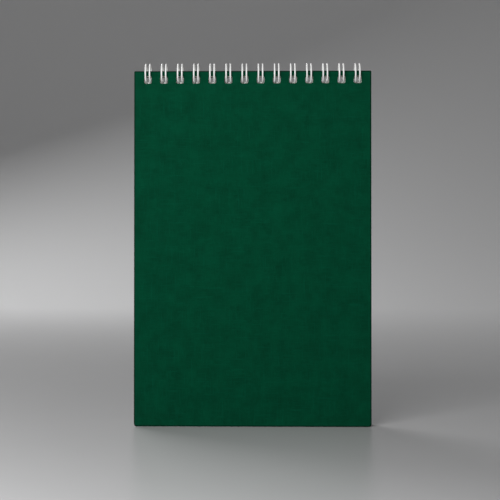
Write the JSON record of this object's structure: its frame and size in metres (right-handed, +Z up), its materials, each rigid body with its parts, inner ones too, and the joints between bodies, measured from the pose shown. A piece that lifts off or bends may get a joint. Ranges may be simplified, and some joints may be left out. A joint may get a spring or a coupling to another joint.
{
  "type": "spiral notebook",
  "caption": "Top-bound notebook: two punched board covers that swing on a twin-loop wire, with a block of leaves between them.",
  "frame": {"origin": "middle of the bottom edge, between the covers, on the surface that the notebook stands on", "axes": "+X along the wire binding, to the right seen from the front; -Y out of the front cover; +Z up towards the binding"},
  "size_m": [0.1244, 0.0109, 0.1908],
  "materials": {
    "cover_board": "matte, finely grained dark green",
    "paper": "matte, uncoated",
    "coated_wire": "white coating, semi-gloss"
  },
  "bodies": {
    "pad": {"page_block": "paper", "wire_binding": "coated_wire"},
    "front_cover": {"front_cover": "cover_board"},
    "back_cover": {"back_cover": "cover_board"}
  },
  "joints": [
    {"name": "front_cover_hinge", "type": "hinge", "parent": "pad", "child": "front_cover", "pos_m": [0, 0.00053, 0.18537], "axis": [-1, 0, 0], "range_deg": [-0.7, 179.3]},
    {"name": "back_cover_hinge", "type": "hinge", "parent": "pad", "child": "back_cover", "pos_m": [0, -0.00053, 0.18537], "axis": [1, 0, 0], "range_deg": [-0.7, 179.3]}
  ]
}
